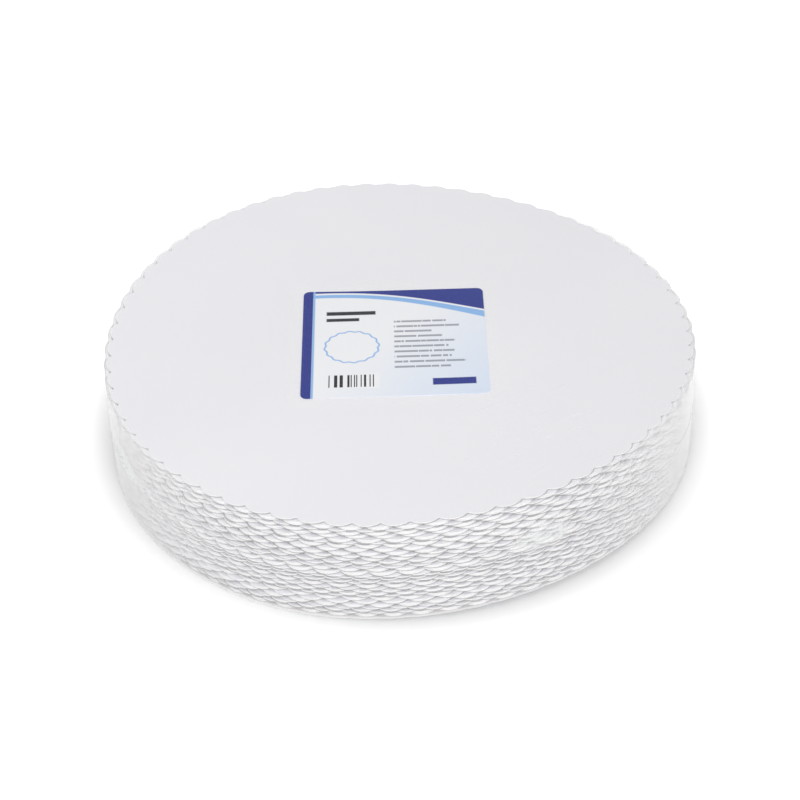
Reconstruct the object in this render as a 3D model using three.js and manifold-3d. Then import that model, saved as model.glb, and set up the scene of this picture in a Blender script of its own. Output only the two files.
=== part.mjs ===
// Sealed pack of scalloped round cake boards.
// A stack of white cardboard boards and a printed label card lie inside clear shrink film.
// The boards have curled, so two opposite edges of the pack stand up from the surface it lies on.
// Millimetres, +Z up, origin at the centre of the underside of the film.
import * as THREE from 'three';
import { mergeVertices } from 'three/addons/utils/BufferGeometryUtils.js';
import Module from 'manifold-3d';

const wasm = await Module();
wasm.setup();

// Boards, joined ten by ten into bundles
const boardDiameter = 260;
const boardThickness = 0.48;
const boardsInBundle = 10;
const bundleCount = 10;
const bundleGap = 0.1;
const bundleTurn = 0.38;

// Scallops round the edge of every board
const scallopCount = 69;
const scallopDepth = 2.4;
const scallopSteps = 3;

// Curl: flat in the middle, then rising in flat steps towards the two edges on the curl's line
const curlLift = 7;
const curlFlat = 30;
const curlSteps = 4;
const curlAzimuth = THREE.MathUtils.degToRad(-52);

// Label card on the top board
const labelWidth = 82;
const labelLength = 81;
const labelThickness = 0.25;
const labelCornerRadius = 3;
const labelCentreX = -2.2;
const labelCentreY = 0.3;
const labelTurn = THREE.MathUtils.degToRad(-0.3);

// Shrink film, with one sealed seam round the side and four gathered corners on it
const filmWall = 0.5;
const filmClearance = 0.3;
const filmEdge = 0.8;
const filmSides = 72;
const seamLevel = 25;
const seamHeight = 1.4;
const seamDepth = 0.6;
const ventRadius = 3;
const cornerCount = 4;
const cornerAzimuth = THREE.MathUtils.degToRad(-69);
const cornerWidth = 34;
const cornerHeight = 15;
const cornerDepth = 2.2;

// Values that follow from the sizes above
const boardRadius = boardDiameter / 2;
const bundleThickness = boardsInBundle * boardThickness + bundleGap;
const stackBottom = filmWall + filmClearance;
const stackTop = stackBottom + bundleCount * bundleThickness - bundleGap;
const labelBottom = stackTop + bundleGap;
const labelTop = labelBottom + labelThickness;
const filmCeiling = labelTop + filmClearance;
const filmTop = filmCeiling + filmWall;
const filmInside = (boardRadius + filmClearance) / Math.cos(Math.PI / filmSides);
const filmOutside = filmInside + filmWall;
const foldWidth = (boardRadius - curlFlat) / curlSteps;

const cardboard = new THREE.MeshStandardMaterial({ color: 0xe9e9ed, roughness: 0.75, metalness: 0 });
const printedCard = new THREE.MeshStandardMaterial({ color: 0xdfe5f2, roughness: 0.35, metalness: 0 });
const clearFilm = new THREE.MeshStandardMaterial({
  color: 0xf4f6f8, roughness: 0.12, metalness: 0, transparent: true, opacity: 0.25,
});

// Distance of a point from the middle of the pack along the line of the curl
function alongCurl(x, y) {
  return x * Math.cos(curlAzimuth) + y * Math.sin(curlAzimuth);
}

// Height that the curl adds: a parabola drawn with straight steps between the fold lines
function curlHeight(along) {
  const folds = Math.max(0, Math.abs(along) - curlFlat) / foldWidth;
  const step = Math.min(Math.floor(folds), curlSteps - 1);
  const share = (step * step + (folds - step) * (2 * step + 1)) / (curlSteps * curlSteps);
  return curlLift * share;
}

// Moves every corner of a geometry to where place(x, y, z) says
function moveCorners(geometry, place) {
  const position = geometry.attributes.position;
  for (let i = 0; i < position.count; i++) {
    position.setXYZ(i, ...place(position.getX(i), position.getY(i), position.getZ(i)));
  }
  position.needsUpdate = true;
  return geometry;
}

// Bends a geometry with the curl of the pack
function curled(geometry) {
  return moveCorners(geometry, (x, y, z) => [x, y, z + curlHeight(alongCurl(x, y))]);
}

// Turns a geometry into a solid for cutting and joining
function toSolid(geometry) {
  const bare = geometry.clone();
  bare.deleteAttribute('normal');
  bare.deleteAttribute('uv');
  const merged = mergeVertices(bare, 1e-4);
  return new wasm.Manifold(new wasm.Mesh({
    numProp: 3,
    vertProperties: new Float32Array(merged.attributes.position.array),
    triVerts: new Uint32Array(merged.index.array),
  }));
}

// Turns a solid back into a geometry
function toGeometry(solid) {
  const mesh = solid.getMesh();
  const geometry = new THREE.BufferGeometry();
  geometry.setAttribute('position', new THREE.BufferAttribute(mesh.vertProperties.slice(), 3));
  geometry.setIndex(new THREE.BufferAttribute(mesh.triVerts.slice(), 1));
  geometry.computeVertexNormals();
  return geometry;
}

// Where the fold lines lie along the curl, with one more beyond each edge of the pack
function foldLines() {
  const lines = [-2 * boardRadius, 2 * boardRadius];
  for (let step = 0; step < curlSteps; step++) {
    lines.push(curlFlat + step * foldWidth, -curlFlat - step * foldWidth);
  }
  return lines.sort((a, b) => a - b);
}

// Adds a point to an outline wherever it crosses a fold line
function withCrossings(outline, lines) {
  return outline.flatMap((point, i) => {
    const next = outline[(i + 1) % outline.length];
    const from = alongCurl(point.x, point.y);
    const to = alongCurl(next.x, next.y);
    const shares = lines.map((line) => (line - from) / (to - from));
    const inside = shares.filter((share) => share > 0 && share < 1).sort((a, b) => a - b);
    return [point, ...inside.map((share) => point.clone().lerp(next, share))];
  });
}

// Triangles of a face, cut into strips along the fold lines so that each strip stays flat
function foldedFace(points, lines) {
  const rounding = 1e-6;
  const along = points.map((p) => alongCurl(p.x, p.y));
  return lines.slice(1).flatMap((high, i) => {
    const low = lines[i];
    const strip = points.map((_, k) => k)
      .filter((k) => along[k] > low - rounding && along[k] < high + rounding);
    if (strip.length < 3) return [];
    const corners = THREE.ShapeUtils.triangulateShape(strip.map((k) => points[k]), []);
    return corners.map((triangle) => triangle.map((c) => strip[c]));
  });
}

// Closed curled solid: the outline, scaled as each level says, from the bottom level to the top one
function foldedSolid(outline, levels) {
  const lines = foldLines();
  const points = withCrossings(outline, lines);
  const face = foldedFace(points, lines);
  const count = points.length;
  const positions = levels.flatMap(({ scale, z }) => points.flatMap((p) => [p.x * scale, p.y * scale, z]));
  const topStart = (levels.length - 1) * count;
  const triangles = face.flatMap(([a, b, c]) => [c, b, a, topStart + a, topStart + b, topStart + c]);
  for (let start = 0; start < topStart; start += count) {
    points.forEach((_, i) => {
      const here = start + i;
      const next = start + (i + 1) % count;
      triangles.push(here, next, next + count, here, next + count, here + count);
    });
  }
  const geometry = new THREE.BufferGeometry();
  geometry.setAttribute('position', new THREE.Float32BufferAttribute(positions, 3));
  geometry.setIndex(triangles);
  curled(geometry).computeVertexNormals();
  return geometry;
}

// Outline of a board: convex arcs that meet in sharp notches
function scallopedOutline(turn) {
  const halfAngle = Math.PI / scallopCount;
  const notchRadius = boardRadius - scallopDepth;
  const halfChord = notchRadius * Math.sin(halfAngle);
  const arcHeight = boardRadius - notchRadius * Math.cos(halfAngle);
  const arcRadius = (halfChord * halfChord + arcHeight * arcHeight) / (2 * arcHeight);
  const arcHalf = Math.asin(Math.min(1, halfChord / arcRadius));
  const outline = [];
  for (let scallop = 0; scallop < scallopCount; scallop++) {
    const middle = turn + 2 * halfAngle * scallop;
    for (let step = 0; step < scallopSteps; step++) {
      const sweep = arcHalf * (2 * step / scallopSteps - 1);
      const point = new THREE.Vector2(
        boardRadius - arcRadius + arcRadius * Math.cos(sweep), arcRadius * Math.sin(sweep));
      outline.push(point.rotateAround(new THREE.Vector2(0, 0), middle));
    }
  }
  return outline;
}

// The stack, bundle on bundle, each turned against the one below
function addBoards(pack) {
  for (let bundle = 0; bundle < bundleCount; bundle++) {
    const bottom = stackBottom + bundle * bundleThickness;
    const top = bottom + bundleThickness - bundleGap;
    const turn = 2 * Math.PI * bundle * bundleTurn / scallopCount;
    const levels = [{ scale: 1, z: bottom }, { scale: 1, z: top }];
    const mesh = new THREE.Mesh(foldedSolid(scallopedOutline(turn), levels), cardboard);
    const first = bundle * boardsInBundle + 1;
    mesh.name = `boards_${first}_to_${first + boardsInBundle - 1}`;
    pack.add(mesh);
  }
}

// The label card, a rectangle with rounded corners that follows the curl of the top board
function addLabel(pack) {
  const x = labelWidth / 2 - labelCornerRadius;
  const y = labelLength / 2 - labelCornerRadius;
  const quarter = Math.PI / 2;
  const shape = new THREE.Shape();
  shape.absarc(x, -y, labelCornerRadius, -quarter, 0);
  shape.absarc(x, y, labelCornerRadius, 0, quarter);
  shape.absarc(-x, y, labelCornerRadius, quarter, 2 * quarter);
  shape.absarc(-x, -y, labelCornerRadius, 2 * quarter, 3 * quarter);
  const centre = new THREE.Vector2(labelCentreX, labelCentreY);
  const outline = shape.getPoints(3).map((p) => p.add(centre).rotateAround(centre, labelTurn));
  const levels = [{ scale: 1, z: labelBottom }, { scale: 1, z: labelTop }];
  const mesh = new THREE.Mesh(foldedSolid(outline, levels), printedCard);
  mesh.name = 'label_card';
  pack.add(mesh);
}

// Outline of the film: a ring of straight sides
function filmOutline() {
  return Array.from({ length: filmSides }, (_, side) => {
    const angle = 2 * Math.PI * side / filmSides;
    return new THREE.Vector2(filmOutside * Math.cos(angle), filmOutside * Math.sin(angle));
  });
}

// A corner of the film bag, gathered flat against the side in the middle of the seam
function gatheredCorner(azimuth) {
  const root = filmInside + filmWall / 3;
  const box = new THREE.BoxGeometry(cornerWidth, 1, cornerHeight, 6, 1, 2);
  moveCorners(box, (x, y, z) => {
    const reach = 2 * x / cornerWidth;
    const taper = 1 - 0.75 * reach * reach;
    const radius = y > 0 ? root : filmOutside + cornerDepth * taper;
    const angle = azimuth + x / filmOutside;
    return [radius * Math.cos(angle), radius * Math.sin(angle), seamLevel + z * taper];
  });
  return curled(box);
}

// The shrink film round the whole pack, with a small vent in the middle of its underside
function addFilm(pack) {
  const outline = filmOutline();
  const scaled = (radius, z) => ({ scale: radius / filmOutside, z });
  const skin = [
    scaled(filmOutside - filmEdge, 0),
    scaled(filmOutside, filmEdge),
    scaled(filmOutside, seamLevel - seamHeight / 2),
    scaled(filmOutside + seamDepth, seamLevel),
    scaled(filmOutside, seamLevel + seamHeight / 2),
    scaled(filmOutside, filmTop - filmEdge),
    scaled(filmOutside - filmEdge, filmTop),
  ];
  const room = [scaled(filmInside, filmWall), scaled(filmInside, filmCeiling)];
  const vent = new THREE.CylinderGeometry(ventRadius, ventRadius, 2 * filmClearance + 2 * filmWall, 16);
  vent.rotateX(Math.PI / 2);
  let film = toSolid(foldedSolid(outline, skin));
  film = film.subtract(toSolid(foldedSolid(outline, room))).subtract(toSolid(vent));
  for (let corner = 0; corner < cornerCount; corner++) {
    const azimuth = cornerAzimuth + 2 * Math.PI * corner / cornerCount;
    film = film.add(toSolid(gatheredCorner(azimuth)));
  }
  const mesh = new THREE.Mesh(toGeometry(film), clearFilm);
  mesh.name = 'shrink_film';
  pack.add(mesh);
}

const pack = new THREE.Group();
addBoards(pack);
addLabel(pack);
addFilm(pack);
export default pack;
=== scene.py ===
import math
import random

import bpy
import numpy as np
from mathutils import Matrix, Vector, noise


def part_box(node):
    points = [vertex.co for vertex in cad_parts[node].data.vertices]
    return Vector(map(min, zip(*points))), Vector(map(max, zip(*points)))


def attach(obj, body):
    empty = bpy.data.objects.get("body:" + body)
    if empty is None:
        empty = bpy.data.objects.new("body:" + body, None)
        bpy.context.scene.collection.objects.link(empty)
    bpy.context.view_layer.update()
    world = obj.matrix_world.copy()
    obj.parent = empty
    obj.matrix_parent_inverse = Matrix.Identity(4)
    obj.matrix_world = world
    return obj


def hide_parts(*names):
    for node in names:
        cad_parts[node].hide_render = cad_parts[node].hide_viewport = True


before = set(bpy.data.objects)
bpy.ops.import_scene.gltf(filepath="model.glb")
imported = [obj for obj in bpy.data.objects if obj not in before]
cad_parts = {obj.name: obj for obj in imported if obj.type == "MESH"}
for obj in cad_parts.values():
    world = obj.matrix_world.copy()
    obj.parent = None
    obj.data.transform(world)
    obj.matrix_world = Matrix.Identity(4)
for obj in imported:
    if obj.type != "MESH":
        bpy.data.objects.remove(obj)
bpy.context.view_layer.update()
MM = 0.001

# Boards, as the frame has them
BOARD_RADIUS = 130 * MM
BOARD_COUNT = 100
BOARDS_IN_NODE = 10
BOARD_SHARE = 0.94
SCALLOPS = 69
SCALLOP_DEPTH = 2.4 * MM
SCALLOP_STEPS = 6
SCALLOP_PITCH = 2 * math.pi / SCALLOPS

# Rings of points on a board's face. The collar is the outer one, and turns with the scallops
RING_RADII = [r * MM for r in (16, 34, 52, 70, 88, 104, 116)]
RING_POINTS = 60
COLLAR_RADIUS = 124.5 * MM
COLLAR_POINTS = 2 * SCALLOPS

# Groups of boards that share a turn. A group's lowest board is a little smaller, and painted darker as
# the shadow line between groups
TOP_GROUP = 2
GROUP_SIZES = [2, 2, 3, 3, 3, 4, 4]
GROUP_SHIFT = 0.3 * MM
GROUP_DRIFT = 0.0025
GROUP_SHRINK = (0.0004, 0.0026)
GROOVE = 0.0012

# How far single boards lie off their group's place, and how wavy their edge is
BOARD_SLIP = 0.08 * MM
BOARD_TWIST = 0.0014
BOARD_WAVE = 0.04 * MM

# Curl of the pack: flat in the middle, rising to two opposite edges
CURL_LIFT = 7 * MM
CURL_FLAT = 30 * MM
CURL_AZIMUTH = math.radians(-52)

# Label card
LABEL_WIDTH = 82 * MM
LABEL_LENGTH = 81 * MM
LABEL_THICKNESS = 0.25 * MM
LABEL_CORNER = 3 * MM
LABEL_CENTRE = (-2.2 * MM, 0.3 * MM)
LABEL_TURN = math.radians(-0.3)
LABEL_LIFT = 0.02 * MM
LABEL_RINGS = 14
LABEL_CORNER_STEPS = 6
LABEL_POINT_GAP = 5 * MM

# Label print, with its colours and the softness of its edges as a share of the card
WHITE = (0.87, 0.875, 0.90)
PALE = (0.64, 0.74, 0.89)
SKY = (0.26, 0.47, 0.80)
BLUE = (0.012, 0.028, 0.24)
GREY = (0.20, 0.21, 0.26)
BLACK = (0.012, 0.012, 0.02)
BLOCK_WHITE = (0.86, 0.87, 0.89)
PRINT_SOFT = 0.006
TEXT_ROWS = 21
STRIPES = 170
RING_CENTRE = (0.27, 0.46)
RING_RADIUS = 0.145
RING_WAVES = 16

# Film, which dips between the scallops of the end boards
FILM_RADIUS = 130.8 * MM
FILM_LIFT = 0.15 * MM
FILM_UNDER = 0.08 * MM
FILM_EDGE = 0.6 * MM
FILM_DIP = 1.3 * MM
FILM_DIP_BELOW = 0.25
FILM_DIP_FADE = 2.2 * MM
FILM_SEGMENTS = 8 * SCALLOPS
FILM_UNDER_RADII = [r * MM for r in (2, 8, 16, 26, 38, 52, 66, 80, 92, 104, 113, 120, 125, 128.5)]
FILM_TOP_RADII = [r * MM for r in np.linspace(128.2, 2, 60)]
FILM_EDGE_STEPS = 4
FILM_SIDE_STEPS = 62
FRINGE_FADE = 1.6 * MM

# The film's tent over the label's edge
TENT_NEAR = 2.5 * MM
TENT_FAR = 8 * MM
TENT_GAP = 0.05 * MM

# The film's seam, gathered corners, pleats and creases
SEAM_HEIGHT = 24.5 * MM
GATHER_AZIMUTHS = [math.radians(a) for a in (-65, -157, 25, 115)]
GATHER_RISE = 5 * MM
GATHER_HALF_WIDTH = 17.5 * MM
GATHER_HALF_HEIGHT = 8 * MM
SEAM_STRETCHES = ((-16, 13), (-73, 9), (62, 24), (150, 20))
SEAM_SHOWS = [(math.radians(a), math.radians(reach)) for a, reach in SEAM_STRETCHES]
PLEAT_AZIMUTHS = [math.radians(a) for a in (-168.5, -165.5, -162, 12, 15, 19, 103)]
PLEAT_WIDTH = 1.2 * MM
CREASE_TURN = math.radians(-34)
CREASE_CENTRE = (56 * MM, -70 * MM, 50 * MM)

# Camera fitted to the photograph, for a frame of 800 by 800 pixels
FRAME_PIXELS = 800
FOCAL_PIXELS = 2200
CAMERA_ELEVATION = math.radians(36.867)
CAMERA_ROLL = math.radians(-1.885)
CAMERA_DISTANCE = 1.0079
CAMERA_RIGHT = -0.5 * MM
CAMERA_UP = 14.02 * MM

# Floor, whose white for the camera fades in with the distance from the pack's middle, which paints shade
# on the floor close round the pack
FLOOR_SIZE = 12
FLOOR_COLOUR = (0.86, 0.86, 0.86, 1)
GLOW_START = 126 * MM
GLOW_FULL = 150 * MM
GLOW_STRENGTH = 0.42

# Lights
WORLD_STRENGTH = 0.576
KEY_ENERGY = 0.80
KEY_ANGLE = math.radians(40)
KEY_TURN = (math.radians(32), 0, math.radians(12))
PANEL_ENERGY = 2.6
PANEL_SIZE = 0.45
PANEL_PLACE = Vector((-0.03, -0.76, 0.56))

board_nodes = [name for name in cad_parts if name.startswith("boards_")]
board_nodes.sort(key=lambda name: int(name.split("_")[1]))
STACK_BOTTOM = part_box(board_nodes[0])[0].z
STACK_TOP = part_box(board_nodes[-1])[1].z - CURL_LIFT
BOARD_PITCH = (STACK_TOP - STACK_BOTTOM) / BOARD_COUNT


# Camera

def make_camera():
    forward = Vector((0, math.cos(CAMERA_ELEVATION), -math.sin(CAMERA_ELEVATION)))
    level = Vector((1, 0, 0))
    upward = Vector((0, math.sin(CAMERA_ELEVATION), math.cos(CAMERA_ELEVATION)))
    right = level * math.cos(CAMERA_ROLL) + upward * math.sin(CAMERA_ROLL)
    up = upward * math.cos(CAMERA_ROLL) - level * math.sin(CAMERA_ROLL)
    data = bpy.data.cameras.new("camera")
    data.sensor_width = 36
    data.lens = data.sensor_width * FOCAL_PIXELS / FRAME_PIXELS
    camera = bpy.data.objects.new("camera", data)
    turn = Matrix((right, up, -forward)).transposed().to_4x4()
    place = level * CAMERA_RIGHT + upward * CAMERA_UP - forward * CAMERA_DISTANCE
    camera.matrix_world = Matrix.Translation(place) @ turn
    bpy.context.scene.collection.objects.link(camera)
    bpy.context.scene.camera = camera


# Shared shapes

def smooth(low, high, value):
    share = np.clip((value - low) / (high - low), 0, 1)
    return share * share * (3 - 2 * share)


def curl(x, y):
    along = x * math.cos(CURL_AZIMUTH) + y * math.sin(CURL_AZIMUTH)
    share = np.maximum(0, np.abs(along) - CURL_FLAT) / (BOARD_RADIUS - CURL_FLAT)
    return CURL_LIFT * share * share


def add_mesh(name, points, faces, sharp=35):
    mesh = bpy.data.meshes.new(name)
    mesh.from_pydata([tuple(p) for p in points], [], faces)
    mesh.validate()
    mesh.shade_smooth()
    mesh.set_sharp_from_angle(angle=math.radians(sharp))
    piece = bpy.data.objects.new(name, mesh)
    bpy.context.scene.collection.objects.link(piece)
    return piece


def set_attribute(piece, name, values):
    attribute = piece.data.attributes.new(name, "FLOAT", "POINT")
    attribute.data.foreach_set("value", np.asarray(values, np.float32))


# Node helpers

class Shader:
    """Builds one material from short calls."""

    def __init__(self, name):
        self.material = bpy.data.materials.new(name)
        self.material.use_nodes = True
        self.tree = self.material.node_tree
        self.tree.nodes.clear()

    def node(self, kind, inputs=None, **settings):
        made = self.tree.nodes.new(kind)
        for key, value in settings.items():
            setattr(made, key, value)
        for key, value in (inputs or {}).items():
            self.feed(made.inputs[key], value)
        return made

    def feed(self, socket, value):
        if isinstance(value, bpy.types.NodeSocket):
            self.tree.links.new(value, socket)
        else:
            socket.default_value = value

    def math(self, operation, *values, clamp=False):
        made = self.node("ShaderNodeMath", operation=operation, use_clamp=clamp)
        for socket, value in zip(made.inputs, values):
            self.feed(socket, value)
        return made.outputs[0]

    def mix(self, factor, low, high):
        made = self.node("ShaderNodeMix", data_type="RGBA")
        self.feed(made.inputs[0], factor)
        for socket, value in ((made.inputs[6], low), (made.inputs[7], high)):
            self.feed(socket, (*value, 1) if isinstance(value, tuple) and len(value) == 3 else value)
        return made.outputs[2]

    def noise(self, vector, scale, detail=3, roughness=0.5):
        made = self.node("ShaderNodeTexNoise", {"Vector": vector, "Scale": scale, "Detail": detail,
                                                "Roughness": roughness})
        return made.outputs[0]

    def place(self):
        return self.node("ShaderNodeTexCoord").outputs["Object"]

    def stretch(self, vector, scale):
        return self.node("ShaderNodeMapping", {"Vector": vector, "Scale": scale}).outputs[0]

    def ramp(self, value, start, stop, low, high):
        """Goes from low, where the value is start, to high, where it is stop."""
        return self.node("ShaderNodeMapRange", {"Value": value, "From Min": start, "From Max": stop,
                                                "To Min": low, "To Max": high}).outputs[0]

    def attribute(self, name):
        return self.node("ShaderNodeAttribute", attribute_name=name).outputs["Fac"]

    def bump(self, height, distance, strength=1.0):
        return self.node("ShaderNodeBump", {"Height": height, "Distance": distance,
                                            "Strength": strength}).outputs[0]

    def output(self, shader):
        self.node("ShaderNodeOutputMaterial", {"Surface": shader})
        return self.material


# Boards

def scalloped_outline():
    """Angles and radii of a board's edge, arcs that meet in notches."""
    half_angle = math.pi / SCALLOPS
    notch = BOARD_RADIUS - SCALLOP_DEPTH
    half_chord = notch * math.sin(half_angle)
    rise = BOARD_RADIUS - notch * math.cos(half_angle)
    arc = (half_chord ** 2 + rise ** 2) / (2 * rise)
    sweep_half = math.asin(half_chord / arc)
    points = []
    for scallop in range(SCALLOPS):
        for step in range(SCALLOP_STEPS):
            sweep = sweep_half * (2 * step / SCALLOP_STEPS - 1)
            x = BOARD_RADIUS - arc + arc * math.cos(sweep)
            y = arc * math.sin(sweep)
            points.append((math.atan2(y, x) + 2 * half_angle * scallop, math.hypot(x, y)))
    return np.array(points)


def band(inner_start, inner_count, outer_start, outer_count):
    """Triangles between two rings of points, taken in turn."""
    triangles = []
    i = o = 0
    while i < inner_count or o < outer_count:
        here = inner_start + i % inner_count
        there = outer_start + o % outer_count
        if (i + 1) / inner_count < (o + 1) / outer_count:
            triangles.append((here, there, inner_start + (i + 1) % inner_count))
            i += 1
        else:
            triangles.append((here, there, outer_start + (o + 1) % outer_count))
            o += 1
    return triangles


OUTLINE = scalloped_outline()


def board_face():
    """Points of a flat board face and its triangles, facing up."""
    angles = 2 * math.pi * np.arange(RING_POINTS) / RING_POINTS
    starts = [1 + k * RING_POINTS for k in range(len(RING_RADII))]
    faces = [(0, 1 + i, 1 + (i + 1) % RING_POINTS) for i in range(RING_POINTS)]
    for low, high in zip(starts, starts[1:]):
        for i in range(RING_POINTS):
            j = (i + 1) % RING_POINTS
            faces.append((low + i, high + i, high + j, low + j))
    collar = starts[-1] + RING_POINTS
    edge = collar + COLLAR_POINTS
    faces += band(starts[-1], RING_POINTS, collar, COLLAR_POINTS)
    faces += band(collar, COLLAR_POINTS, edge, len(OUTLINE))
    inner = [(0.0, 0.0)] + [(r * math.cos(a), r * math.sin(a)) for r in RING_RADII for a in angles]
    return np.array(inner), faces, edge


def board_points(inner, turn, shift, size):
    """Flat points of one board: its fixed inner rings, its collar and its rim."""
    angles = OUTLINE[:, 0] + turn
    radii = OUTLINE[:, 1] * size + BOARD_WAVE * np.sin(3 * angles + turn * 40)
    rim = np.stack([radii * np.cos(angles) + shift[0], radii * np.sin(angles) + shift[1]], 1)
    around = OUTLINE[0, 0] + turn + 2 * math.pi * np.arange(COLLAR_POINTS) / COLLAR_POINTS
    collar = COLLAR_RADIUS * np.stack([np.cos(around), np.sin(around)], 1)
    return np.concatenate([inner, collar, rim])


def group_plan(chance):
    """For every board from the bottom up, its turn, shift and size, and if it is a group's lowest.

    The groups are drawn from the top down.
    """
    plan = []
    phase = 0.0
    boards = TOP_GROUP
    while len(plan) < BOARD_COUNT:
        phase = (phase + chance.uniform(0.2, 0.8)) % 1
        turn = phase * SCALLOP_PITCH
        shift = (chance.uniform(-GROUP_SHIFT, GROUP_SHIFT), chance.uniform(-GROUP_SHIFT, GROUP_SHIFT))
        drift = chance.uniform(-GROUP_DRIFT, GROUP_DRIFT)
        size = 1 - chance.uniform(*GROUP_SHRINK)
        for board in range(boards):
            lowest = board == boards - 1
            plan.append((turn + drift * board, shift, size - GROOVE * lowest, lowest))
        boards = chance.choice(GROUP_SIZES)
    return plan[BOARD_COUNT - 1::-1]


PLAN = group_plan(random.Random(41))


def closed_sheet(low, upward, edge, count):
    """Faces of a thin sheet: its underside from point low on, its top and its cut edge."""
    high = low + count
    rim = range(edge, count)
    faces = [tuple(low + c for c in reversed(face)) for face in upward]
    faces += [tuple(high + c for c in face) for face in upward]
    for here, there in zip(rim, [*rim[1:], rim[0]]):
        faces.append((low + here, low + there, high + there, high + here))
    return faces


def board_pile(first, chance):
    """Points and faces of the boards of one node, and each point's tint and painted gap shadow."""
    inner, upward, edge = board_face()
    count = edge + len(OUTLINE)
    points, faces, tints, gap_shadows = [], [], [], []
    for board in range(first, first + BOARDS_IN_NODE):
        turn, shift, size, lowest = PLAN[board]
        slip = (shift[0] + chance.gauss(0, BOARD_SLIP), shift[1] + chance.gauss(0, BOARD_SLIP))
        flat = board_points(inner, turn + chance.gauss(0, BOARD_TWIST), slip, size)
        bottom = STACK_BOTTOM + board * BOARD_PITCH
        for z in (bottom, bottom + BOARD_SHARE * BOARD_PITCH):
            points.append(np.column_stack([flat, z + curl(flat[:, 0], flat[:, 1])]))
        faces += closed_sheet((board - first) * 2 * count, upward, edge, count)
        tints += [chance.random()] * (2 * count)
        # Painted shadow: marks the points of a group's lowest board, to darken it as the gap between
        # groups
        gap_shadows += [float(lowest)] * (2 * count)
    return np.concatenate(points), faces, tints, gap_shadows


def make_boards():
    chance = random.Random(26)
    for k, node in enumerate(board_nodes):
        points, faces, tints, gap_shadows = board_pile(k * BOARDS_IN_NODE, chance)
        piece = add_mesh("stacked_" + node, points, faces)
        set_attribute(piece, "tint", tints)
        set_attribute(piece, "painted_gap_shadow", gap_shadows)
        piece.data.materials.append(board_material())
        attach(piece, "root")
        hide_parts(node)


def board_material():
    """White card: bluish on its faces, warmer on its cut edges, and painted grey on a group's lowest
    board as the shadow line between groups.
    """
    if "white_board" in bpy.data.materials:
        return bpy.data.materials["white_board"]
    s = Shader("white_board")
    place = s.place()
    fibre = s.noise(place, 900, 4, 0.6)
    cloud = s.noise(place, 18, 2)
    tone = s.math("ADD", s.math("MULTIPLY", s.attribute("tint"), 0.5), s.math("MULTIPLY", cloud, 0.5))
    colour = s.mix(tone, (0.81, 0.81, 0.845), (0.865, 0.865, 0.89))
    colour = s.mix(s.math("MULTIPLY", fibre, 0.08), colour, (0.70, 0.70, 0.72))
    facing = s.node("ShaderNodeNewGeometry").outputs["Normal"]
    flat = s.math("ABSOLUTE", s.node("ShaderNodeSeparateXYZ", {"Vector": facing}).outputs[2])
    cut_edge = s.mix(tone, (0.83, 0.815, 0.82), (0.89, 0.88, 0.88))
    colour = s.mix(s.ramp(flat, 0.3, 0.8, 0, 1), cut_edge, colour)
    # Painted shadow: a group's lowest board turns towards grey, standing in for the shade in the gap
    # between groups
    colour = s.mix(s.math("MULTIPLY", s.attribute("painted_gap_shadow"), 0.62), colour, (0.24, 0.24, 0.245))
    normal = s.bump(s.math("ADD", fibre, s.math("MULTIPLY", cloud, 0.6)), 0.00004)
    shader = s.node("ShaderNodeBsdfPrincipled", {"Base Color": colour, "Roughness": 0.62,
                                                 "Normal": normal})
    return s.output(shader.outputs[0])


# Label card

def label_outline():
    """The card's edge, with points close enough together to follow the curl."""
    x = LABEL_WIDTH / 2 - LABEL_CORNER
    y = LABEL_LENGTH / 2 - LABEL_CORNER
    corners = []
    for k, (cx, cy) in enumerate(((x, -y), (x, y), (-x, y), (-x, -y))):
        for step in range(LABEL_CORNER_STEPS + 1):
            a = math.radians(90 * (k - 1) + 90 * step / LABEL_CORNER_STEPS)
            corners.append(np.array((cx + LABEL_CORNER * math.cos(a), cy + LABEL_CORNER * math.sin(a))))
    points = []
    for here, there in zip(corners, corners[1:] + corners[:1]):
        parts = max(1, round(np.linalg.norm(there - here) / LABEL_POINT_GAP))
        points += [here + (there - here) * part / parts for part in range(parts)]
    return np.array(points)


def label_sheet():
    """Flat points of the card, as rings from its middle to its edge, and its faces, facing up."""
    edge = label_outline()
    around = len(edge)
    rings = [edge * ring / LABEL_RINGS for ring in range(1, LABEL_RINGS + 1)]
    upward = [(0, 1 + i, 1 + (i + 1) % around) for i in range(around)]
    for ring in range(LABEL_RINGS - 1):
        low = 1 + ring * around
        for i in range(around):
            j = (i + 1) % around
            upward.append((low + i, low + around + i, low + around + j, low + j))
    return np.concatenate([np.zeros((1, 2)), *rings]), upward, around


def make_label():
    """The card, which lies on the top board and follows its curl."""
    flat, upward, around = label_sheet()
    count = len(flat)
    c, d = math.cos(LABEL_TURN), math.sin(LABEL_TURN)
    x = LABEL_CENTRE[0] + c * flat[:, 0] - d * flat[:, 1]
    y = LABEL_CENTRE[1] + d * flat[:, 0] + c * flat[:, 1]
    bottom = STACK_TOP + LABEL_LIFT
    layers = [np.column_stack([x, y, z + curl(x, y)]) for z in (bottom, bottom + LABEL_THICKNESS)]
    faces = closed_sheet(0, upward, count - around, count)
    piece = add_mesh("printed_label", np.concatenate(layers), faces)
    uvs = np.concatenate([flat, flat]) / (LABEL_WIDTH, LABEL_LENGTH) + 0.5
    layer = piece.data.uv_layers.new(name="print")
    for loop in piece.data.loops:
        layer.data[loop.index].uv = uvs[loop.vertex_index]
    piece.data.materials.append(label_material())
    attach(piece, "root")
    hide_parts("label_card")


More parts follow.
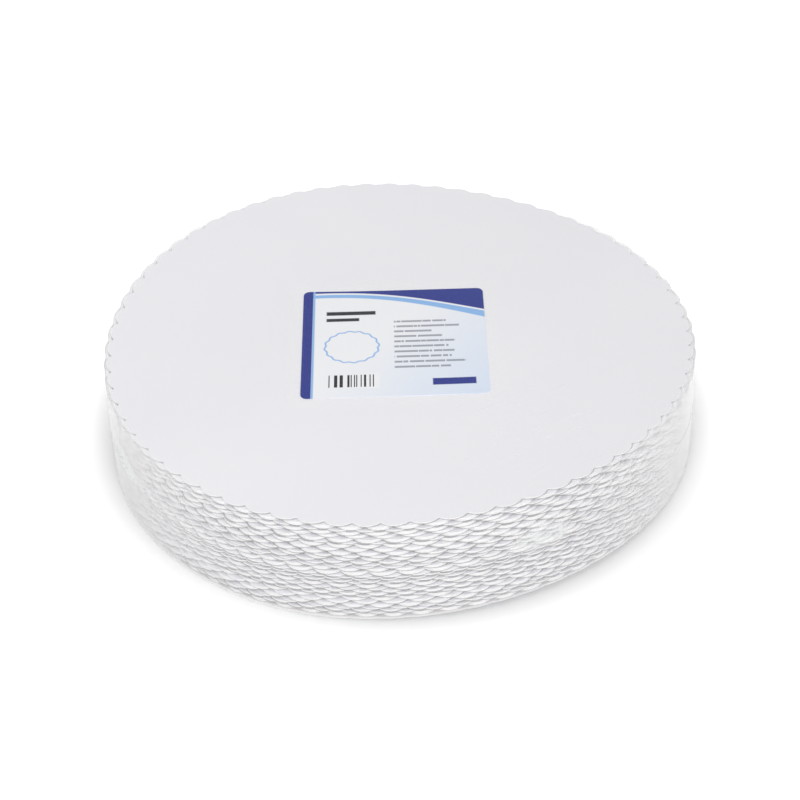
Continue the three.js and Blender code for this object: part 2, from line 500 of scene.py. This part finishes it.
class Print(Shader):
    """The label's material, with masks drawn over the card's u and v, both from 0 to 1."""

    def __init__(self, name):
        super().__init__(name)
        self.uv = self.node("ShaderNodeUVMap", uv_map="print").outputs[0]
        split = self.node("ShaderNodeSeparateXYZ", {"Vector": self.uv})
        self.u, self.v = split.outputs[0], split.outputs[1]

    def mask(self, distance):
        """1 where the distance is negative, with a soft edge."""
        return self.math("MULTIPLY_ADD", distance, -1 / PRINT_SOFT, 0.5, clamp=True)

    def outside(self, along, start, stop):
        off_middle = self.math("ABSOLUTE", self.math("SUBTRACT", along, (start + stop) / 2))
        return self.math("SUBTRACT", off_middle, (stop - start) / 2)

    def box(self, x0, x1, y0, y1):
        return self.mask(self.math("MAXIMUM", self.outside(self.u, x0, x1), self.outside(self.v, y0, y1)))

    def above(self, level, slope):
        """Where v lies over a curve: level plus slope times u squared plus a slow wave."""
        rise = self.math("MULTIPLY", self.both(self.u, self.u), slope)
        swing = self.math("MULTIPLY", self.math("SINE", self.math("MULTIPLY", self.u, 4.2)), 0.02)
        curve = self.math("ADD", self.math("ADD", rise, swing), level)
        return self.mask(self.math("SUBTRACT", curve, self.v))

    def both(self, a, b):
        return self.math("MULTIPLY", a, b)

    def chance(self, value):
        return self.node("ShaderNodeTexWhiteNoise", {"W": value}, noise_dimensions="1D").outputs[0]


def print_field(s):
    """Pale clouded field with a blue sweep along the top and a band down the left."""
    slant = s.math("SUBTRACT", s.u, s.math("MULTIPLY", s.v, 0.75))
    colour = s.mix(s.ramp(slant, 0.02, 0.95, 0, 1), WHITE, PALE)
    cloud = s.noise(s.stretch(s.uv, (2.2, 3.2, 1)), 1.6, 2)
    colour = s.mix(s.math("MULTIPLY", cloud, 0.35), colour, WHITE)
    colour = s.mix(s.above(0.93, -0.20), colour, SKY)
    colour = s.mix(s.above(0.96, -0.17), colour, WHITE)
    colour = s.mix(s.above(0.975, -0.17), colour, BLUE)
    colour = s.mix(s.box(-0.1, 0.055, -0.1, 1.1), colour, BLUE)
    return s.mix(s.box(0.055, 0.066, -0.1, 1.1), colour, SKY)


def print_bars(s, colour):
    """Rows of broken grey bars, two black bars over the ring and a blue one at the foot."""
    row_place = s.math("MULTIPLY", s.v, TEXT_ROWS)
    row = s.math("FLOOR", row_place)
    row_gap = s.math("ABSOLUTE", s.math("SUBTRACT", s.math("FRACT", row_place), 0.5))
    row_bar = s.math("LESS_THAN", row_gap, 0.19)
    row_end = s.math("LESS_THAN", s.u, s.math("MULTIPLY_ADD", s.chance(row), 0.22, 0.68))
    along = s.node("ShaderNodeCombineXYZ", {"X": s.math("MULTIPLY", s.u, 60), "Y": row}).outputs[0]
    broken = s.math("GREATER_THAN", s.noise(along, 1, 1), 0.40)
    lines = s.both(s.both(s.both(row_bar, row_end), broken), s.box(0.50, 0.96, 0.24, 0.70))
    colour = s.mix(s.math("MULTIPLY", lines, 0.75), colour, GREY)
    colour = s.mix(s.box(0.13, 0.40, 0.765, 0.80), colour, BLACK)
    colour = s.mix(s.box(0.13, 0.31, 0.705, 0.735), colour, BLACK)
    return s.mix(s.box(0.70, 0.93, 0.09, 0.15), colour, BLUE)


def print_ring(s, colour):
    """A white disc with a wavy blue outline."""
    x = s.math("SUBTRACT", s.u, RING_CENTRE[0])
    y = s.math("SUBTRACT", s.v, RING_CENTRE[1])
    away = s.math("SQRT", s.math("ADD", s.both(x, x), s.both(y, y)))
    wave = s.math("SINE", s.math("MULTIPLY", s.math("ARCTAN2", y, x), RING_WAVES))
    outline = s.math("ADD", s.math("MULTIPLY", wave, 0.004), RING_RADIUS)
    off_outline = s.math("ABSOLUTE", s.math("SUBTRACT", away, outline))
    colour = s.mix(s.mask(s.math("SUBTRACT", away, RING_RADIUS - 0.01)), colour, WHITE)
    return s.mix(s.mask(s.math("SUBTRACT", off_outline, 0.005)), colour, SKY)


def print_stripes(s, colour):
    """A white block with black stripes of chance widths."""
    stripe = s.chance(s.math("FLOOR", s.math("MULTIPLY", s.u, STRIPES)))
    colour = s.mix(s.box(0.12, 0.42, 0.075, 0.215), colour, BLOCK_WHITE)
    stripes = s.both(s.math("GREATER_THAN", stripe, 0.5), s.box(0.135, 0.405, 0.09, 0.20))
    return s.mix(stripes, colour, BLACK)


def label_material():
    """Generic print: a blue sweep, a pale field, plain bars for lines, a ring and a striped block."""
    s = Print("label_print")
    colour = print_stripes(s, print_ring(s, print_bars(s, print_field(s))))
    shader = s.node("ShaderNodeBsdfPrincipled", {"Base Color": colour, "Roughness": 0.4,
                                                 "Specular IOR Level": 0.2})
    return s.output(shader.outputs[0])


# Shrink film

def film_rows():
    """Rows of the film from the middle of its underside, up its side, to the middle of its top."""
    top = STACK_TOP + FILM_LIFT
    low, high = FILM_UNDER + FILM_EDGE, top - FILM_EDGE
    inside = FILM_RADIUS - FILM_EDGE
    bends = [math.radians(90 * step / FILM_EDGE_STEPS) for step in range(FILM_EDGE_STEPS + 1)]
    rows = [("under", radius, FILM_UNDER) for radius in FILM_UNDER_RADII]
    rows += [("side", inside + FILM_EDGE * math.sin(a), low - FILM_EDGE * math.cos(a)) for a in bends]
    for step in range(1, FILM_SIDE_STEPS):
        rows.append(("side", FILM_RADIUS, low + (high - low) * step / FILM_SIDE_STEPS))
    rows += [("side", inside + FILM_EDGE * math.cos(a), high + FILM_EDGE * math.sin(a)) for a in bends]
    rows += [("top", radius, top) for radius in FILM_TOP_RADII]
    return rows


def label_distance(x, y):
    """How far a point lies outside the label card, negative on it."""
    c, d = math.cos(LABEL_TURN), math.sin(LABEL_TURN)
    dx, dy = x - LABEL_CENTRE[0], y - LABEL_CENTRE[1]
    across = abs(c * dx + d * dy) - LABEL_WIDTH / 2
    down = abs(c * dy - d * dx) - LABEL_LENGTH / 2
    return np.where((across > 0) & (down > 0), np.hypot(np.maximum(across, 0), np.maximum(down, 0)),
                    np.maximum(across, down))


def turn_between(angle, azimuth):
    return (angle - azimuth + math.pi) % (2 * math.pi) - math.pi


def gathered(angle, height):
    """How far a point of the side lies in a gathered corner, and where in it."""
    best, place = 0.0, 0.0
    for azimuth in GATHER_AZIMUTHS:
        across = turn_between(angle, azimuth) * FILM_RADIUS / GATHER_HALF_WIDTH
        tall = GATHER_HALF_HEIGHT * max(0.15, 1 - 0.7 * across * across)
        up = (height - SEAM_HEIGHT - GATHER_RISE * (1 - 0.6 * abs(across))) / tall
        reach = across * across + up * up
        if reach < 1:
            best, place = (1 - reach) ** 0.6, across
    return best, place


def pleated(angle, height):
    """Tall narrow pleats, which run out towards the lower rim."""
    aways = [turn_between(angle, azimuth) * FILM_RADIUS / PLEAT_WIDTH for azimuth in PLEAT_AZIMUTHS]
    near = sum(math.exp(-away ** 2) for away in aways)
    return near * min(1, max(0, (height - 14 * MM) / (8 * MM)))


def seam_share(angle):
    """How plainly the seam shows: it fades out between its creased stretches."""
    return max(max(0, 1 - (turn_between(angle, middle) / reach) ** 2) for middle, reach in SEAM_SHOWS)


def scallop_dip(angle, turn):
    """How far the film sinks between two scallops of a board with this turn."""
    phase = ((angle - turn) / SCALLOP_PITCH + 0.5) % 1 - 0.5
    return FILM_DIP * abs(2 * phase) ** 2.2


def film_dip(angle, z):
    """How far the film sinks at the scallops of the top board, and less so of the bottom board."""
    top_share = min(1, math.exp((z - STACK_TOP) / FILM_DIP_FADE))
    low_share = FILM_DIP_BELOW * min(1, math.exp((STACK_BOTTOM - z) / FILM_DIP_FADE))
    return top_share * scallop_dip(angle, PLAN[-1][0]) + low_share * scallop_dip(angle, PLAN[0][0])


def film_haze_and_sheen(angle, z):
    """A milky veil on the left and right, which is a painted sheen standing in for the film's reflection
    where it is seen edge-on, and a fringe along the lower edge.
    """
    streak = 1 + 0.2 * noise.noise(Vector((angle * 5, z / MM * 0.03, 4)))
    # Painted sheen: white on the sides that face left and right, in place of the film's reflection there
    sheen_veil = 0.50 * smooth(0.45, 1.0, abs(math.cos(angle))) * streak
    fringe = 0.5 * math.exp(-max(0, z - STACK_BOTTOM) / FRINGE_FADE)
    return max(sheen_veil, fringe)


def side_point(angle, radius, z):
    """Radius, haze and painted sheen, gathering and share of the seam of a point on the film's side."""
    place = Vector((math.cos(angle) * 6, math.sin(angle) * 6, z / MM * 0.035))
    ripple = noise.noise(place * 2.5) * 0.12 + noise.noise(place * 8) * 0.05
    seam = math.exp(-((z - SEAM_HEIGHT) / (0.8 * MM)) ** 2)
    gather, across = gathered(angle, z)
    fold = Vector((across * 5, (z - SEAM_HEIGHT) / MM * 0.33, angle))
    crumple = noise.noise(fold * 1.1) + 0.6 * noise.noise(fold * 2.7)
    pleat = pleated(angle, z)
    out = (ripple + 0.3 * seam + gather * (0.7 + 0.8 * crumple) + 0.3 * pleat) * MM
    haze_and_sheen = film_haze_and_sheen(angle, z) + 0.5 * gather * (0.6 + abs(crumple)) + 0.12 * pleat
    return radius + max(out, -0.15 * MM) - film_dip(angle, z), haze_and_sheen, gather, seam_share(angle)


def film_row(kind, radius, z, angles):
    """One row's points, each with its haze and painted sheen, gathering, share of the seam and level in
    mm.
    """
    if kind == "side":
        radii, haze_and_sheen, gather, seam = np.array([side_point(a, radius, z) for a in angles]).T
    else:
        radii = np.full(FILM_SEGMENTS, radius)
        haze_and_sheen, gather, seam = np.zeros((3, FILM_SEGMENTS))
    x, y = radii * np.cos(angles), radii * np.sin(angles)
    height = z + curl(x, y)
    if kind == "top":
        away = label_distance(x, y)
        tent = 1 - smooth(TENT_NEAR, TENT_FAR, away)
        height = height + tent * (LABEL_THICKNESS + TENT_GAP)
        haze_and_sheen = 0.12 * tent * smooth(0, 2 * MM, away)
    return np.column_stack([x, y, height, haze_and_sheen, gather, seam, np.full(FILM_SEGMENTS, z / MM)])


def film_faces(row_count):
    """Faces between the rows, and one that closes each end."""
    faces = []
    last = (row_count - 1) * FILM_SEGMENTS
    for low in range(0, last, FILM_SEGMENTS):
        high = low + FILM_SEGMENTS
        for i in range(FILM_SEGMENTS):
            j = (i + 1) % FILM_SEGMENTS
            faces.append((low + i, low + j, high + j, high + i))
    faces.append(tuple(reversed(range(FILM_SEGMENTS))))
    faces.append(tuple(range(last, last + FILM_SEGMENTS)))
    return faces


def make_film():
    rows = film_rows()
    angles = 2 * math.pi * np.arange(FILM_SEGMENTS) / FILM_SEGMENTS
    table = np.concatenate([film_row(*row, angles) for row in rows])
    piece = add_mesh("clear_film", table[:, :3], film_faces(len(rows)), sharp=180)
    for column, name in enumerate(("haze_and_sheen", "gather", "seam", "level"), start=3):
        set_attribute(piece, name, table[:, column])
    piece.data.materials.append(film_material())
    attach(piece, "root")
    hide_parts("shrink_film")


def film_material():
    """Thin clear film: see-through but for a painted sheen at grazing angles that stands in for its
    reflection, its haze, which also holds a painted sheen on the left and right, its folds, its creases
    painted pale as highlights, and its seam.

    The haze scatters most light onward, so it shades the boards behind it only a little.
    """
    s = Shader("clear_shrink_film")
    place = s.place()
    wrinkle = s.noise(s.stretch(place, (1, 1, 0.35)), 70, 3, 0.55)
    crinkle = s.math("MULTIPLY", s.noise(place, 420, 3, 0.6), s.attribute("gather"))
    normal = s.bump(s.math("MULTIPLY_ADD", crinkle, 0.8, wrinkle), 0.0008, 0.6)
    facing = s.node("ShaderNodeLayerWeight", {"Blend": 0.5, "Normal": normal}).outputs["Facing"]
    # Painted sheen: the film turns white and opaque at grazing angles, in place of its reflection of the
    # white surroundings
    sheen = s.math("MULTIPLY_ADD", s.math("POWER", facing, 5), 0.7, 0.015)
    seam = film_seam(s, place)
    crease_highlights = film_crease_highlights(s, place)
    hidden = s.math("ADD", s.math("ADD", sheen, s.attribute("haze_and_sheen")), s.math("MULTIPLY", seam, 0.65))
    white_share = s.math("ADD", hidden, s.math("MULTIPLY", crease_highlights, 0.15), clamp=True)
    path = s.node("ShaderNodeLightPath")
    onward = s.math("MAXIMUM", path.outputs["Is Shadow Ray"], path.outputs["Is Diffuse Ray"])
    alpha = s.math("MULTIPLY", white_share, s.ramp(onward, 0, 1, 1, 0.3))
    colour = s.mix(s.attribute("gather"), (0.97, 0.955, 0.965), (0.86, 0.89, 0.885))
    colour = s.mix(s.math("MULTIPLY", seam, 0.9), colour, (0.34, 0.34, 0.35))
    # Painted highlight: the creases are coloured white
    colour = s.mix(crease_highlights, colour, (1.0, 1.0, 1.0))
    shader = s.node("ShaderNodeBsdfPrincipled", {"Base Color": colour, "Roughness": 0.2, "Alpha": alpha,
                                                 "Normal": normal})
    return s.output(shader.outputs[0])


def film_seam(s, place):
    """A thin wavering line round the side, in the stretches where the seam shows."""
    wobble = s.math("MULTIPLY", s.noise(place, 25, 2), 1.4)
    off_seam = s.math("SUBTRACT", s.math("ADD", s.attribute("level"), wobble), SEAM_HEIGHT / MM + 0.7)
    line = s.ramp(s.math("ABSOLUTE", off_seam), 0.15, 0.5, 1, 0)
    return s.math("MULTIPLY", line, s.attribute("seam"))


def film_crease_highlights(s, place):
    """Short pale creases on the top, where the film was drawn tight beside a gathered corner, painted
    white as highlights along the folds.
    """
    turned = s.node("ShaderNodeVectorRotate", {"Vector": place, "Angle": CREASE_TURN},
                    rotation_type="Z_AXIS").outputs[0]
    strokes = s.ramp(s.noise(s.stretch(turned, (0.22, 1, 1)), 520, 0), 0.70, 0.80, 0, 1)
    away = s.node("ShaderNodeVectorMath", {0: place, 1: CREASE_CENTRE},
                  operation="DISTANCE").outputs["Value"]
    return s.math("MULTIPLY", strokes, s.ramp(away, 20 * MM, 42 * MM, 1, 0))


# Stage and light

def make_floor():
    """A pale floor that reads white to the camera away from the pack, keeps the shadow of the pack, and
    has painted shade close round it where its white fades out.
    """
    bpy.ops.mesh.primitive_plane_add(size=FLOOR_SIZE, location=(0, 0, 0))
    floor = bpy.context.object
    floor.name = "floor"
    s = Shader("pale_floor")
    path = s.node("ShaderNodeLightPath")
    seen = s.math("MAXIMUM", path.outputs["Is Camera Ray"], path.outputs["Is Glossy Ray"])
    seen = s.math("MAXIMUM", seen, path.outputs["Is Transmission Ray"])
    away = s.node("ShaderNodeVectorMath", {0: s.place()}, operation="LENGTH").outputs["Value"]
    # Painted shade: the glow is weaker near the pack, which darkens the floor round its foot
    strength = s.math("MULTIPLY", seen, s.ramp(away, GLOW_START, GLOW_FULL, 0, GLOW_STRENGTH))
    glow = s.node("ShaderNodeEmission", {"Color": (1, 1, 1, 1), "Strength": strength})
    matt = s.node("ShaderNodeBsdfDiffuse", {"Color": FLOOR_COLOUR})
    both = s.node("ShaderNodeAddShader", {0: matt.outputs[0], 1: glow.outputs[0]})
    floor.data.materials.append(s.output(both.outputs[0]))


def make_world():
    """Even white light, and plain white behind the pack for camera and glossy rays."""
    world = bpy.data.worlds.new("soft_white")
    bpy.context.scene.world = world
    world.use_nodes = True
    tree = world.node_tree
    tree.nodes.clear()
    path = tree.nodes.new("ShaderNodeLightPath")
    seen = tree.nodes.new("ShaderNodeMath")
    seen.operation = "MAXIMUM"
    tree.links.new(path.outputs["Is Camera Ray"], seen.inputs[0])
    tree.links.new(path.outputs["Is Glossy Ray"], seen.inputs[1])
    strength = tree.nodes.new("ShaderNodeMapRange")
    strength.inputs["To Min"].default_value = WORLD_STRENGTH
    strength.inputs["To Max"].default_value = 1.0
    tree.links.new(seen.outputs[0], strength.inputs["Value"])
    back = tree.nodes.new("ShaderNodeBackground")
    back.inputs["Color"].default_value = (1, 1, 1, 1)
    tree.links.new(strength.outputs[0], back.inputs["Strength"])
    out = tree.nodes.new("ShaderNodeOutputWorld")
    tree.links.new(back.outputs[0], out.inputs["Surface"])


def make_key():
    """A broad sun from above and in front."""
    data = bpy.data.lights.new("key", "SUN")
    data.energy = KEY_ENERGY
    data.angle = KEY_ANGLE
    key = bpy.data.objects.new("key", data)
    key.rotation_euler = KEY_TURN
    bpy.context.scene.collection.objects.link(key)


def make_front_panel():
    """A soft panel in front, which lights the near side most."""
    data = bpy.data.lights.new("front_panel", "AREA")
    data.energy = PANEL_ENERGY
    data.size = PANEL_SIZE
    panel = bpy.data.objects.new("front_panel", data)
    turn = PANEL_PLACE.to_track_quat("Z", "Y").to_matrix().to_4x4()
    panel.matrix_world = Matrix.Translation(PANEL_PLACE) @ turn
    panel.visible_camera = False
    bpy.context.scene.collection.objects.link(panel)


make_camera()
make_boards()
make_label()
make_film()
make_floor()
make_world()
make_key()
make_front_panel()
bpy.context.scene.view_settings.view_transform = "Standard"
